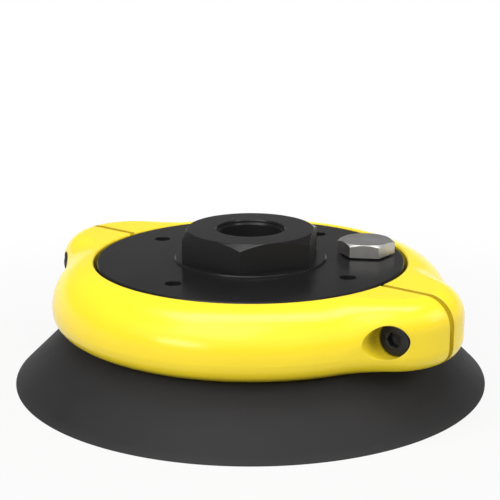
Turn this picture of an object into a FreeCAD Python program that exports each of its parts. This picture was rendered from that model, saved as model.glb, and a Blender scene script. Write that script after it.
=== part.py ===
import FreeCAD, Part
import math
import os

import Sketcher

# Driving dimensions in millimetres and degrees. Heights are measured from the sealing plane of the lip.
SIZES = {
    # rubber cup
    "lip_radius": 56.5,
    "lip_edge": 0.15,
    "lip_land": 1.2,
    "skirt_inset": 4.0,
    "skirt_wall": 2.6,
    "web_wall": 2.0,
    "neck_wall": 4.8,
    "bead_height": 4.5,
    "shoulder_round": 1.0,
    "rib_count": 12,
    "rib_inset": 1.0,
    "rib_thickness": 2.4,
    "rib_depth": 5.0,
    # mounting plate
    "plate_margin": 8.6,
    "plate_rise": 4.45,
    "plate_edge_chamfer": 0.4,
    "flange_width": 4.9,
    "flange_height": 3.8,
    "spigot_depth": 1.5,
    "boss_flats": 30.0,
    "boss_height": 7.2,
    "hex_chamfer_angle": 30.0,
    "collar_width": 0.98,
    "collar_height": 0.45,
    "port_radius": 7.475,
    "port_chamfer": 0.85,
    "hole_circle_radius": 28.0,
    "fixing_hole_count": 4,
    "fixing_hole_diameter": 3.3,
    "fixing_hole_chamfer": 0.5,
    "fixing_hole_depth": 6.0,
    # clamp ring
    "clamp_bottom": 13.45,
    "clamp_wall": 5.4,
    "clamp_lip": 2.6,
    "clamp_hook": 2.9,
    "clamp_top_lip": 4.6,
    "foot_round": 4.6,
    "flank_height": 0.2,
    "ear_setback": 8.95,
    "ear_radius": 17.4,
    "ear_round": 6.4,
    "ear_blend_radius": 28.7,
    "opening_chamfer": 0.4,
    "split_gap": 1.6,
    # clamp screws and inserts
    "screw_overhang": 0.6,
    "screw_seat": 8.0,
    "screw_length": 16.0,
    "thread_diameter": 4.0,
    "head_diameter": 7.0,
    "head_height": 4.0,
    "head_chamfer": 0.4,
    "socket_flats": 3.0,
    "socket_depth": 2.0,
    "insert_wall": 0.7,
    "insert_length": 8.2,
    # plug in the second port
    "plug_angle": 45.0,
    "plug_port_diameter": 8.6,
    "plug_port_chamfer": 0.6,
    "plug_flats": 12.0,
    "plug_head_height": 3.1,
    "plug_crown_inset": 0.3,
    "plug_shank_length": 7.0,
    "seal_width": 0.9,
    "seal_height": 0.4,
    # clearances
    "running_clearance": 0.3,
    "groove_clearance": 0.4,
    "opening_clearance": 0.75,
    "head_clearance": 0.25,
    "screw_clearance": 0.2,
    "thread_clearance": 0.1,
    "tip_clearance": 0.9,
}

# Radii that follow from the driving sizes, from the plate outwards and then back in to the cup's opening.
PLATE_RADIUS = "(sizes.hole_circle_radius + sizes.plate_margin)"
OPENING_RADIUS = f"({PLATE_RADIUS} + sizes.opening_clearance)"
FLANGE_RADIUS = f"({PLATE_RADIUS} + sizes.flange_width)"
GROOVE_RADIUS = f"({FLANGE_RADIUS} + sizes.groove_clearance)"
CLAMP_RADIUS = f"({GROOVE_RADIUS} + sizes.clamp_wall)"
EAR_CENTRE = f"({CLAMP_RADIUS} - sizes.ear_setback)"
SCREW_OFFSET = f"({CLAMP_RADIUS} + sizes.screw_overhang)"
SKIRT_TOP_RADIUS = f"({CLAMP_RADIUS} - sizes.skirt_inset)"
HOOK_RADIUS = f"({FLANGE_RADIUS} - sizes.clamp_hook)"
NECK_RADIUS = f"({HOOK_RADIUS} - sizes.running_clearance)"
CUP_OPENING_RADIUS = f"({NECK_RADIUS} - sizes.neck_wall)"
SPIGOT_RADIUS = f"({CUP_OPENING_RADIUS} - sizes.running_clearance)"

# Levels and heights that follow from the driving sizes.
SHOULDER = "(sizes.clamp_bottom - sizes.running_clearance)"
WEB_UNDERSIDE = f"({SHOULDER} - sizes.web_wall)"
GROOVE_FLOOR = "(sizes.clamp_bottom + sizes.clamp_lip)"
PLATE_UNDERSIDE = f"({GROOVE_FLOOR} + sizes.bead_height)"
SPIGOT_BOTTOM = f"({PLATE_UNDERSIDE} - sizes.spigot_depth)"
FLANGE_TOP = f"({PLATE_UNDERSIDE} + sizes.flange_height)"
PLATE_TOP = f"({FLANGE_TOP} + sizes.plate_rise)"
COLLAR_TOP = f"({PLATE_TOP} + sizes.collar_height)"
BOSS_TOP = f"({PLATE_TOP} + sizes.boss_height)"
CLAMP_TOP = f"({FLANGE_TOP} + sizes.clamp_top_lip)"
CLAMP_HEIGHT = f"({CLAMP_TOP} - sizes.clamp_bottom)"
DOME_ROUND = f"({CLAMP_HEIGHT} - sizes.foot_round - sizes.flank_height)"
SCREW_LEVEL = f"(sizes.clamp_bottom + {CLAMP_HEIGHT} / 2)"

# Holes and the pieces that go into them.
SCREW_HOLE_DIAMETER = "(sizes.thread_diameter + 2 * sizes.screw_clearance)"
COUNTERBORE_DIAMETER = "(sizes.head_diameter + 2 * sizes.head_clearance)"
INSERT_BORE = "(sizes.thread_diameter + 2 * sizes.thread_clearance)"
INSERT_DIAMETER = f"({INSERT_BORE} + 2 * sizes.insert_wall)"
SCREW_TIP = "(sizes.screw_length - sizes.screw_seat)"
TIP_HOLE_DEPTH = f"({SCREW_TIP} + sizes.tip_clearance)"
PLUG_PORT_MOUTH = "(sizes.plug_port_diameter + 2 * sizes.plug_port_chamfer)"
CORNERS_PER_FLATS = "(2 / sqrt(3))"

doc = FreeCAD.newDocument("flat_vacuum_cup")
sheet = doc.addObject("Spreadsheet::Sheet", "sizes")


def fill_sheet():
    """Write every driving dimension to the sheet under its own alias."""
    for row, (name, value) in enumerate(SIZES.items(), start=1):
        sheet.set(f"A{row}", name)
        sheet.set(f"B{row}", str(value))
        sheet.setAlias(f"B{row}", name)
    doc.recompute()


def value_of(expression):
    """Number that an expression on the sheet stands for."""
    return float(sheet.evalExpression(expression))


def bind(item, **expressions):
    """Tie properties of an object to the sheet; double underscores stand for dots."""
    for name, expression in expressions.items():
        item.setExpression(name.replace("__", "."), expression)


def new_body(label):
    """Empty body with its own label."""
    body = doc.addObject("PartDesign::Body", label)
    body.Label = label
    return body


def new_sketch(body, name, role, height=None):
    """Empty sketch on one of the body's origin planes, raised along its normal if a height is given."""
    sketch = body.newObject("Sketcher::SketchObject", name)
    plane = next(item for item in body.Origin.OriginFeatures if item.Role == role)
    sketch.AttachmentSupport = [(plane, "")]
    sketch.MapMode = "FlatFace"
    if height:
        bind(sketch, AttachmentOffset__Base__z=height)
    return sketch


def limit(sketch, kind, expression, *places):
    """Add a dimension to a sketch and tie it to the sheet."""
    number = sketch.addConstraint(Sketcher.Constraint(kind, *places, value_of(expression)))
    sketch.setExpression(f"Constraints[{number}]", expression)


def place_point(sketch, geometry, end, corner):
    """Fix the end of a line or the middle of a circle at a pair of expressions."""
    for kind, axis, expression in zip(("DistanceX", "DistanceY"), (-2, -1), corner):
        if expression == "0":
            sketch.addConstraint(Sketcher.Constraint("PointOnObject", geometry, end, axis))
        else:
            limit(sketch, kind, expression, -1, 1, geometry, end)


def profile_sketch(body, name, corners):
    """Closed outline of straight lines on the XZ plane, each corner a radius and a height."""
    sketch = new_sketch(body, name, "XZ_Plane")
    points = [FreeCAD.Vector(value_of(x), value_of(z), 0) for x, z in corners]
    count = len(points)
    for number in range(count):
        sketch.addGeometry(Part.LineSegment(points[number], points[(number + 1) % count]))
    for number in range(count):
        sketch.addConstraint(Sketcher.Constraint("Coincident", number, 2, (number + 1) % count, 1))
        place_point(sketch, number, 1, corners[number])
    return sketch


def circle_sketch(body, name, radius, height=None, centre=("0", "0")):
    """One circle on the XY plane."""
    sketch = new_sketch(body, name, "XY_Plane", height)
    middle = FreeCAD.Vector(value_of(centre[0]), value_of(centre[1]), 0)
    circle = sketch.addGeometry(Part.Circle(middle, FreeCAD.Vector(0, 0, 1), value_of(radius)))
    place_point(sketch, circle, 3, centre)
    limit(sketch, "Radius", radius, circle)
    return sketch


def hexagon_sketch(body, name, flats, height=None):
    """Regular hexagon on the XY plane round the Z axis, with one corner on the X axis."""
    sketch = new_sketch(body, name, "XY_Plane", height)
    corner_radius = f"{flats} * {CORNERS_PER_FLATS} / 2"
    reach = value_of(corner_radius)
    turns = [number * math.pi / 3 for number in range(6)]
    points = [FreeCAD.Vector(reach * math.cos(turn), reach * math.sin(turn), 0) for turn in turns]
    for number in range(6):
        sketch.addGeometry(Part.LineSegment(points[number], points[(number + 1) % 6]))
    guide = sketch.addGeometry(Part.Circle(FreeCAD.Vector(), FreeCAD.Vector(0, 0, 1), reach), True)
    sketch.addConstraint(Sketcher.Constraint("Coincident", guide, 3, -1, 1))
    limit(sketch, "Radius", corner_radius, guide)
    for number in range(6):
        sketch.addConstraint(Sketcher.Constraint("Coincident", number, 2, (number + 1) % 6, 1))
        sketch.addConstraint(Sketcher.Constraint("PointOnObject", number, 1, guide))
    for number in range(1, 6):
        sketch.addConstraint(Sketcher.Constraint("Equal", 0, number))
    sketch.addConstraint(Sketcher.Constraint("PointOnObject", 0, 1, -1))
    return sketch


def turn_profile(body, name, kind, corners):
    """Turn a profile a full turn round the Z axis: a Revolution adds and a Groove cuts."""
    sketch = profile_sketch(body, f"{name}_profile", corners)
    feature = body.newObject(f"PartDesign::{kind}", name)
    feature.Profile = sketch
    feature.ReferenceAxis = (sketch, ["V_Axis"])
    feature.Angle = 360
    return feature


def pad(body, name, sketch, length):
    """Pad a sketch along its normal."""
    feature = body.newObject("PartDesign::Pad", name)
    feature.Profile = sketch
    bind(feature, Length=length)
    return feature


def drilled_hole(body, name, sketch, diameter, mouth, depth):
    """Countersunk hole down from a sketch; with no depth it goes right through."""
    doc.recompute()
    hole = body.newObject("PartDesign::Hole", name)
    hole.Profile = sketch
    hole.HoleCutType = "Countersink"
    hole.HoleCutCountersinkAngle = 90
    bind(hole, Diameter=diameter, HoleCutDiameter=mouth)
    if depth:
        hole.DepthType = "Dimension"
        hole.DrillPoint = "Angled"
        bind(hole, Depth=depth)
    else:
        hole.DepthType = "ThroughAll"
    return hole


def copy_round(body, name, feature, axis, count):
    """Repeat a feature round the Z axis and make the pattern the body's last step."""
    pattern = body.newObject("PartDesign::PolarPattern", name)
    pattern.Originals = [feature]
    pattern.Axis = axis
    pattern.Angle = 360
    bind(pattern, Occurrences=count)
    body.Tip = pattern


def trim_hexagon(body, name, flats, crown_radius, top):
    """Cut a hexagon's corners back in a cone that leaves a round crown on top and ends beyond the corners."""
    outside = f"({flats} * 2 / 3)"
    drop = f"(({outside} - {crown_radius}) * tan(sizes.hex_chamfer_angle * 1 deg))"
    corners = [(crown_radius, top), (outside, top), (outside, f"{top} - {drop}")]
    return turn_profile(body, name, "Groove", corners)


def build_cup():
    """Rubber cup: lip, skirt, web, neck and bead turned in one piece, with support ribs under the web."""
    body = new_body("suction_cup")
    skirt_slope = f"((sizes.lip_radius - {SKIRT_TOP_RADIUS}) / ({SHOULDER} - sizes.lip_edge))"
    root_radius = f"({SKIRT_TOP_RADIUS} - sizes.skirt_wall * cos(atan({skirt_slope})))"
    form = turn_profile(body, "cup_form", "Revolution", [
        ("sizes.lip_radius - sizes.lip_land", "0"),
        ("sizes.lip_radius", "0"),
        ("sizes.lip_radius", "sizes.lip_edge"),
        (SKIRT_TOP_RADIUS, SHOULDER),
        (NECK_RADIUS, SHOULDER),
        (NECK_RADIUS, GROOVE_FLOOR),
        (FLANGE_RADIUS, GROOVE_FLOOR),
        (FLANGE_RADIUS, PLATE_UNDERSIDE),
        (CUP_OPENING_RADIUS, PLATE_UNDERSIDE),
        (CUP_OPENING_RADIUS, WEB_UNDERSIDE),
        (root_radius, WEB_UNDERSIDE),
    ])
    doc.recompute()
    rounding = body.newObject("PartDesign::Fillet", "shoulder_rounding")
    rounding.Base = (form, circle_edges(body.Shape, value_of(SKIRT_TOP_RADIUS), value_of(SHOULDER)))
    bind(rounding, Radius="sizes.shoulder_round")

    # A rib hangs from the middle of the web and runs out to the middle of the skirt's wall.
    rib_start = f"({CUP_OPENING_RADIUS} + sizes.rib_inset)"
    rib_bottom = f"({WEB_UNDERSIDE} - sizes.rib_depth)"
    rib_root = f"({root_radius} + sizes.skirt_wall / 2)"
    rib_foot = f"({rib_root} + sizes.rib_depth * {skirt_slope})"
    rib_profile = profile_sketch(body, "rib_profile", [
        (rib_start, f"{WEB_UNDERSIDE} + sizes.web_wall / 2"),
        (rib_start, rib_bottom),
        (rib_foot, rib_bottom),
        (rib_root, WEB_UNDERSIDE),
        (rib_root, f"{WEB_UNDERSIDE} + sizes.web_wall / 2"),
    ])
    rib = pad(body, "rib", rib_profile, "sizes.rib_thickness")
    rib.Midplane = True
    doc.recompute()
    copy_round(body, "ribs", rib, (rib_profile, ["V_Axis"]), "sizes.rib_count")
    return body


def circle_edges(shape, radius, height):
    """Names of the full circles of a radius round the Z axis at a height."""
    names = []
    for number, edge in enumerate(shape.Edges, start=1):
        if edge.Curve.TypeId != "Part::GeomCircle":
            continue
        if abs(edge.Curve.Radius - radius) < 1e-6 and abs(edge.Curve.Center.z - height) < 1e-6:
            names.append(f"Edge{number}")
    return names


def build_plate():
    """Mounting plate: spigot, flange, disc and collar turned, hex boss, ports and tapped holes."""
    body = new_body("mounting_plate")
    collar_radius = f"(sizes.boss_flats * {CORNERS_PER_FLATS} / 2 + sizes.collar_width)"
    turn_profile(body, "plate_form", "Revolution", [
        ("0", SPIGOT_BOTTOM),
        (SPIGOT_RADIUS, SPIGOT_BOTTOM),
        (SPIGOT_RADIUS, PLATE_UNDERSIDE),
        (FLANGE_RADIUS, PLATE_UNDERSIDE),
        (FLANGE_RADIUS, FLANGE_TOP),
        (PLATE_RADIUS, FLANGE_TOP),
        (PLATE_RADIUS, f"{PLATE_TOP} - sizes.plate_edge_chamfer"),
        (f"{PLATE_RADIUS} - sizes.plate_edge_chamfer", PLATE_TOP),
        (collar_radius, PLATE_TOP),
        (f"{collar_radius} - sizes.collar_height", COLLAR_TOP),
        ("0", COLLAR_TOP),
    ])
    boss_outline = hexagon_sketch(body, "boss_outline", "sizes.boss_flats", PLATE_TOP)
    pad(body, "hex_boss", boss_outline, "sizes.boss_height")
    trim_hexagon(body, "boss_crown", "sizes.boss_flats", "(sizes.boss_flats / 2)", BOSS_TOP)
    turn_profile(body, "vacuum_port", "Groove", [
        ("0", SPIGOT_BOTTOM),
        ("sizes.port_radius", SPIGOT_BOTTOM),
        ("sizes.port_radius", f"{BOSS_TOP} - sizes.port_chamfer"),
        ("sizes.port_radius + sizes.port_chamfer", BOSS_TOP),
        ("0", BOSS_TOP),
    ])
    plug_centre = ("sizes.hole_circle_radius * cos(sizes.plug_angle * 1 deg)",
                   "sizes.hole_circle_radius * sin(sizes.plug_angle * 1 deg)")
    plug_mark = circle_sketch(body, "plug_port_mark", "sizes.plug_port_diameter / 2", PLATE_TOP, plug_centre)
    drilled_hole(body, "plug_port", plug_mark, "sizes.plug_port_diameter", PLUG_PORT_MOUTH, None)
    hole_mark = circle_sketch(body, "fixing_hole_mark", "sizes.fixing_hole_diameter / 2", PLATE_TOP,
                              ("sizes.hole_circle_radius", "0"))
    hole_mouth = "sizes.fixing_hole_diameter + 2 * sizes.fixing_hole_chamfer"
    hole = drilled_hole(body, "fixing_hole", hole_mark, "sizes.fixing_hole_diameter", hole_mouth,
                        "sizes.fixing_hole_depth")
    doc.recompute()
    copy_round(body, "fixing_holes", hole, (hole_mark, ["N_Axis"]), "sizes.fixing_hole_count")
    return body


def clamp_outline(body):
    """Plan of the closed clamp ring: two long arcs, two ears and four hollow arcs that run into them."""
    sketch = new_sketch(body, "clamp_plan", "XY_Plane", "sizes.clamp_bottom")
    ring = value_of(CLAMP_RADIUS)
    ear = value_of("sizes.ear_radius")
    blend = value_of("sizes.ear_blend_radius")
    centre = value_of(EAR_CENTRE)
    blend_x = ((ring + blend) ** 2 - (ear + blend) ** 2 + centre**2) / (2 * centre)
    blend_y = math.sqrt((ring + blend) ** 2 - blend_x**2)
    ring_turn = math.atan2(blend_y, blend_x)
    ear_turn = math.atan2(blend_y, blend_x - centre)
    upward = FreeCAD.Vector(0, 0, 1)

    def add_arc(x, y, radius, start, end):
        circle = Part.Circle(FreeCAD.Vector(x, y, 0), upward, radius)
        return sketch.addGeometry(Part.ArcOfCircle(circle, start, end))

    # Counter-clockwise from the right ear. Hollow arcs run clockwise, so they join end to start reversed.
    right_ear = add_arc(centre, 0, ear, -ear_turn, ear_turn)
    rear_right = add_arc(blend_x, blend_y, blend, math.pi + ring_turn, math.pi + ear_turn)
    rear_ring = add_arc(0, 0, ring, ring_turn, math.pi - ring_turn)
    rear_left = add_arc(-blend_x, blend_y, blend, -ear_turn, -ring_turn)
    left_ear = add_arc(-centre, 0, ear, math.pi - ear_turn, math.pi + ear_turn)
    front_left = add_arc(-blend_x, -blend_y, blend, ring_turn, ear_turn)
    front_ring = add_arc(0, 0, ring, math.pi + ring_turn, 2 * math.pi - ring_turn)
    front_right = add_arc(blend_x, -blend_y, blend, math.pi - ear_turn, math.pi - ring_turn)
    chain = [right_ear, rear_right, rear_ring, rear_left, left_ear, front_left, front_ring, front_right]
    for number, arc in enumerate(chain):
        following = chain[(number + 1) % len(chain)]
        # A hollow arc starts where the next arc starts, and ends where the arc before it ends.
        if number % 2 == 0:
            sketch.addConstraint(Sketcher.Constraint("Tangent", arc, 2, following, 2))
        else:
            sketch.addConstraint(Sketcher.Constraint("Tangent", arc, 1, following, 1))
    sketch.addConstraint(Sketcher.Constraint("Coincident", rear_ring, 3, -1, 1))
    sketch.addConstraint(Sketcher.Constraint("Coincident", front_ring, 3, -1, 1))
    sketch.addConstraint(Sketcher.Constraint("PointOnObject", right_ear, 3, -1))
    sketch.addConstraint(Sketcher.Constraint("Symmetric", right_ear, 3, left_ear, 3, -1, 1))
    sketch.addConstraint(Sketcher.Constraint("Equal", rear_ring, front_ring))
    sketch.addConstraint(Sketcher.Constraint("Equal", right_ear, left_ear))
    for arc in (rear_left, front_left, front_right):
        sketch.addConstraint(Sketcher.Constraint("Equal", rear_right, arc))
    limit(sketch, "Radius", CLAMP_RADIUS, rear_ring)
    limit(sketch, "Radius", "sizes.ear_radius", right_ear)
    limit(sketch, "Radius", "sizes.ear_blend_radius", rear_right)
    limit(sketch, "DistanceX", EAR_CENTRE, -1, 1, right_ear, 3)
    return sketch


def clamp_roundings(shape):
    """Edges of the clamp blank with their first and last radius: full on the ring, tighter on the ears."""
    top = value_of(CLAMP_TOP)
    bottom = value_of("sizes.clamp_bottom")
    dome = value_of(DOME_ROUND)
    ear = value_of("sizes.ear_round")
    foot = value_of("sizes.foot_round")
    radii = {value_of(CLAMP_RADIUS): (dome, dome), value_of("sizes.ear_radius"): (ear, ear)}
    roundings = []
    for number, edge in enumerate(shape.Edges, start=1):
        if edge.Curve.TypeId != "Part::GeomCircle":
            continue
        height = edge.Curve.Center.z
        if abs(height - bottom) < 1e-6:
            roundings.append((number, foot, foot))
        elif abs(height - top) < 1e-6:
            pair = next((radii[size] for size in radii if abs(size - edge.Curve.Radius) < 1e-6), None)
            if pair is None:
                # A hollow arc changes from one radius to the other in counter-clockwise order.
                ends = [vertex.Point for vertex in edge.Vertexes]
                ends.sort(key=lambda point: math.atan2(point.y, point.x))
                pair = (ear, dome) if abs(ends[0].y) < abs(ends[1].y) else (dome, ear)
            roundings.append((number, *pair))
    return roundings


def cylinder_along_y(name, diameter, side, start, length):
    """Cylinder on a clamp screw's axis, from a place on the Y axis towards the front."""
    cylinder = doc.addObject("Part::Cylinder", name)
    cylinder.Placement.Rotation = FreeCAD.Rotation(FreeCAD.Vector(1, 0, 0), 90)
    bind(cylinder, Radius=f"{diameter} / 2", Height=length)
    bind(cylinder, Placement__Base__x=f"{side} * {SCREW_OFFSET}")
    bind(cylinder, Placement__Base__y=start, Placement__Base__z=SCREW_LEVEL)
    return cylinder


def half_space(name, side):
    """Box on one side of the split: the rear half ends on the axis and the front half a gap short of it."""
    reach = f"({CLAMP_RADIUS} + sizes.ear_radius)"
    box = doc.addObject("Part::Box", name)
    bind(box, Length=f"2 * {reach}", Width=reach, Height=f"2 * {CLAMP_TOP}")
    start = "0" if side > 0 else f"-sizes.split_gap - {reach}"
    bind(box, Placement__Base__x=f"-{reach}", Placement__Base__y=start)
    return box


def build_clamp():
    """Both clamp halves: one rounded ring with ears, hollowed, drilled for the screws and split."""
    blank = new_body("clamp_blank")
    pad(blank, "clamp_pad", clamp_outline(blank), CLAMP_HEIGHT)
    doc.recompute()
    rounded = doc.addObject("Part::Fillet", "clamp_rounded")
    rounded.Base = blank
    rounded.Edges = clamp_roundings(blank.Shape)

    hollow = new_body("clamp_hollow")
    turn_profile(hollow, "clamp_hollow_form", "Revolution", [
        ("0", "sizes.clamp_bottom"),
        (HOOK_RADIUS, "sizes.clamp_bottom"),
        (HOOK_RADIUS, GROOVE_FLOOR),
        (GROOVE_RADIUS, GROOVE_FLOOR),
        (GROOVE_RADIUS, FLANGE_TOP),
        (OPENING_RADIUS, FLANGE_TOP),
        (OPENING_RADIUS, f"{CLAMP_TOP} - sizes.opening_chamfer"),
        (f"{OPENING_RADIUS} + sizes.opening_chamfer", CLAMP_TOP),
        ("0", CLAMP_TOP),
    ])
    # A quarter turn keeps the seam of the turned hollow off the split.
    hollow.Placement.Rotation = FreeCAD.Rotation(FreeCAD.Vector(0, 0, 1), 90)
    ring = doc.addObject("Part::Cut", "clamp_ring")
    ring.Base = rounded
    ring.Tool = hollow

    front_tools = []
    rear_tools = []
    for name, side in (("right", 1), ("left", -1)):
        front_tools.append(cylinder_along_y(f"{name}_screw_hole", SCREW_HOLE_DIAMETER, side,
                                            "0", "sizes.screw_seat"))
        front_tools.append(cylinder_along_y(f"{name}_counterbore", COUNTERBORE_DIAMETER, side,
                                            "-sizes.screw_seat", CLAMP_RADIUS))
        rear_tools.append(cylinder_along_y(f"{name}_insert_hole", INSERT_DIAMETER, side,
                                           "sizes.insert_length", "sizes.insert_length"))
        rear_tools.append(cylinder_along_y(f"{name}_tip_hole", SCREW_HOLE_DIAMETER, side,
                                           TIP_HOLE_DEPTH, TIP_HOLE_DEPTH))
    halves = []
    for label, side, tools in (("front_clamp_half", -1, front_tools), ("rear_clamp_half", 1, rear_tools)):
        plain = doc.addObject("Part::Common", f"{label}_plain")
        plain.Base = ring
        plain.Tool = half_space(f"{label}_space", side)
        holes = doc.addObject("Part::MultiFuse", f"{label}_holes")
        holes.Shapes = tools
        half = doc.addObject("Part::Cut", label)
        half.Label = label
        half.Base = plain
        half.Tool = holes
        halves.append(half)
    return halves


def mirrored_pair(label, single):
    """The same piece on both ears, as one group of two solids."""
    mirror = doc.addObject("Part::Mirroring", f"{single.Name}_left")
    mirror.Source = single
    mirror.Normal = FreeCAD.Vector(1, 0, 0)
    pair = doc.addObject("Part::Compound", label)
    pair.Label = label
    pair.Links = [single, mirror]
    return pair


def place_on_screw_axis(body, start):
    """Lay a piece along the right screw's axis, from a place on the Y axis towards the front."""
    body.Placement.Rotation = FreeCAD.Rotation(FreeCAD.Vector(1, 0, 0), 90)
    bind(body, Placement__Base__x=SCREW_OFFSET, Placement__Base__y=start, Placement__Base__z=SCREW_LEVEL)


def build_screws():
    """Socket-head cap screws that pull the front half to the rear half, heads in the front counterbores."""
    body = new_body("clamp_screw")
    head_radius = "sizes.head_diameter / 2"
    turn_profile(body, "screw_form", "Revolution", [
        ("0", "sizes.screw_length + sizes.head_height"),
        (f"{head_radius} - sizes.head_chamfer", "sizes.screw_length + sizes.head_height"),
        (head_radius, "sizes.screw_length + sizes.head_height - sizes.head_chamfer"),
        (head_radius, "sizes.screw_length"),
        ("sizes.thread_diameter / 2", "sizes.screw_length"),
        ("sizes.thread_diameter / 2", "sizes.head_chamfer"),
        ("sizes.thread_diameter / 2 - sizes.head_chamfer", "0"),
        ("0", "0"),
    ])
    socket_outline = hexagon_sketch(body, "socket_outline", "sizes.socket_flats",
                                    "sizes.screw_length + sizes.head_height")
    doc.recompute()
    socket = body.newObject("PartDesign::Pocket", "socket")
    socket.Profile = socket_outline
    bind(socket, Length="sizes.socket_depth")
    place_on_screw_axis(body, SCREW_TIP)
    return mirrored_pair("clamp_screws", body)


def build_inserts():
    """Threaded sleeves set flush in the split face of the rear half."""
    body = new_body("thread_insert")
    turn_profile(body, "insert_form", "Revolution", [
        (f"{INSERT_BORE} / 2", "0"),
        (f"{INSERT_DIAMETER} / 2", "0"),
        (f"{INSERT_DIAMETER} / 2", "sizes.insert_length"),
        (f"{INSERT_BORE} / 2", "sizes.insert_length"),
    ])
    place_on_screw_axis(body, "sizes.insert_length")
    return mirrored_pair("thread_inserts", body)


def place_on_plug_axis(body, height):
    """Stand a piece on the axis of the second port at a height, turned so that its flats face along X."""
    body.Placement.Rotation = FreeCAD.Rotation(FreeCAD.Vector(0, 0, 1), 30)
    bind(body, Placement__Base__x="sizes.hole_circle_radius * cos(sizes.plug_angle * 1 deg)")
    bind(body, Placement__Base__y="sizes.hole_circle_radius * sin(sizes.plug_angle * 1 deg)")
    bind(body, Placement__Base__z=height)


def build_plug():
    """Hex plug of the second port."""
    body = new_body("port_plug")
    head_bottom = "sizes.plug_shank_length"
    head_top = "(sizes.plug_shank_length + sizes.plug_head_height)"
    shank_radius = "(sizes.plug_port_diameter / 2 - sizes.thread_clearance)"
    pad(body, "plug_head", hexagon_sketch(body, "plug_outline", "sizes.plug_flats", head_bottom),
        "sizes.plug_head_height")
    crown_radius = "(sizes.plug_flats / 2 - sizes.plug_crown_inset)"
    trim_hexagon(body, "plug_crown", "sizes.plug_flats", crown_radius, head_top)
    pad(body, "plug_shank", circle_sketch(body, "shank_outline", shank_radius), "sizes.plug_shank_length")
    place_on_plug_axis(body, f"{PLATE_TOP} + sizes.seal_height - sizes.plug_shank_length")
    return body


def build_seal():
    """Flat seal ring between the plate and the plug's head."""
    body = new_body("plug_seal")
    inside = f"({PLUG_PORT_MOUTH} / 2)"
    outside = f"({inside} + sizes.seal_width)"
    turn_profile(body, "seal_form", "Revolution", [
        (inside, "0"),
        (outside, "0"),
        (outside, "sizes.seal_height"),
        (inside, "sizes.seal_height"),
    ])
    place_on_plug_axis(body, PLATE_TOP)
    return body


def check_document(nodes):
    """Stop if any object failed to compute or any node has no sound shape."""
    for item in doc.Objects:
        if "Invalid" in item.State or "Error" in item.State:
            raise RuntimeError(f"{item.Label} failed: {item.State}")
    for node in nodes:
        if node.Shape.isNull() or not node.Shape.isValid() or not node.Shape.Solids:
            raise RuntimeError(f"{node.Label} has no sound shape")


def main():
    fill_sheet()
    nodes = [build_cup(), build_plate(), *build_clamp()]
    nodes += [build_screws(), build_inserts(), build_plug(), build_seal()]
    doc.recompute()
    check_document(nodes)
    os.makedirs("parts", exist_ok=True)
    for node in nodes:
        node.Shape.exportStep(f"parts/{node.Label}.step")
        print(node.Label, len(node.Shape.Solids), round(node.Shape.Volume, 1))


main()
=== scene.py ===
"""Looks of a flat vacuum cup: rubber cup, split clamp ring, plate with a hex boss, plug and screws.

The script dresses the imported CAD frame. Pieces that the frame holds only as plain solids are built
again as numpy surfaces with their threads, rounded edges and moulded detail. Sizes of pieces are in
millimetres, and those of finishes and of the studio in metres.
"""

import logging
import math
from collections.abc import Sequence
from dataclasses import dataclass, field
from enum import Enum
from typing import Protocol

import bmesh
import bpy
import numpy as np
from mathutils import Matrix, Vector


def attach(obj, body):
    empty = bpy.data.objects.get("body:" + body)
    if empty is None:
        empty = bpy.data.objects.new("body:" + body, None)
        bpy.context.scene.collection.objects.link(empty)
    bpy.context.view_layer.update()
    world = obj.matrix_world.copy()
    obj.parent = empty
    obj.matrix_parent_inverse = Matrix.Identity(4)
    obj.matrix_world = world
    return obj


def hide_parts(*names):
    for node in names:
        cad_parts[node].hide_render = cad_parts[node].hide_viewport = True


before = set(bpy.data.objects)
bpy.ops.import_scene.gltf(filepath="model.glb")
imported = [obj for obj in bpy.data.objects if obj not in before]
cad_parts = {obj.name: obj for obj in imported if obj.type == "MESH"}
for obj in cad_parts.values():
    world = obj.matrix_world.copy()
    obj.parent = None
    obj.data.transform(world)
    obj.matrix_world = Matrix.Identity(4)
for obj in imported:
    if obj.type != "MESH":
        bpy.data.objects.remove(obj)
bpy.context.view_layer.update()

LOG = logging.getLogger("vacuum_cup")
BODY = "root"

MM = 0.001
FULL_TURN = 2 * math.pi
# Turn from one corner of a hexagon to the next.
HEX_STEP = math.pi / 3
# Points of a path that are closer than this, in millimetres, are one point.
SAME_POINT = 1e-6
# Length that stands in for none where it is divided by.
NO_LENGTH = 1e-9
# Share of a thread's pitch that is flat at the ridge, and again at the groove.
THREAD_FLAT = 1 / 6
# Distances in metres at which a mesh's doubles are merged and its slivers dissolved.
MERGE_DISTANCE = 2e-7
SLIVER_DISTANCE = 1e-8

Array = np.ndarray
Colour = tuple[float, float, float]
Place = tuple[float, float, float]
Row = tuple[float, float, float]
Span = tuple[float, float]
Socket = bpy.types.NodeSocket
Value = float | tuple[float, ...] | Socket
Inputs = dict[str | int, Value]


class Slot(Enum):
    """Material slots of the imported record."""

    CUP = "cup_rubber"
    PLATE = "black_anodised"
    CLAMP = "yellow_plastic"
    SCREW = "black_steel"
    INSERT = "insert_brass"
    PLUG = "plug_steel"
    SEAL = "seal_rubber"


class Easing(Enum):
    """How a value goes from one level to another."""

    STRAIGHT = "LINEAR"
    SMOOTH = "SMOOTHSTEP"


# Surfaces


def distinct(path: Array) -> Array:
    """Drop the points of a path that repeat the point before them.

    Args:
        path: Points in order, one to a row.

    Returns:
        The path without repeats.
    """
    step = np.linalg.norm(np.diff(path, axis=0), axis=1)
    return path[np.concatenate([[True], step > SAME_POINT])]


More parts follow.
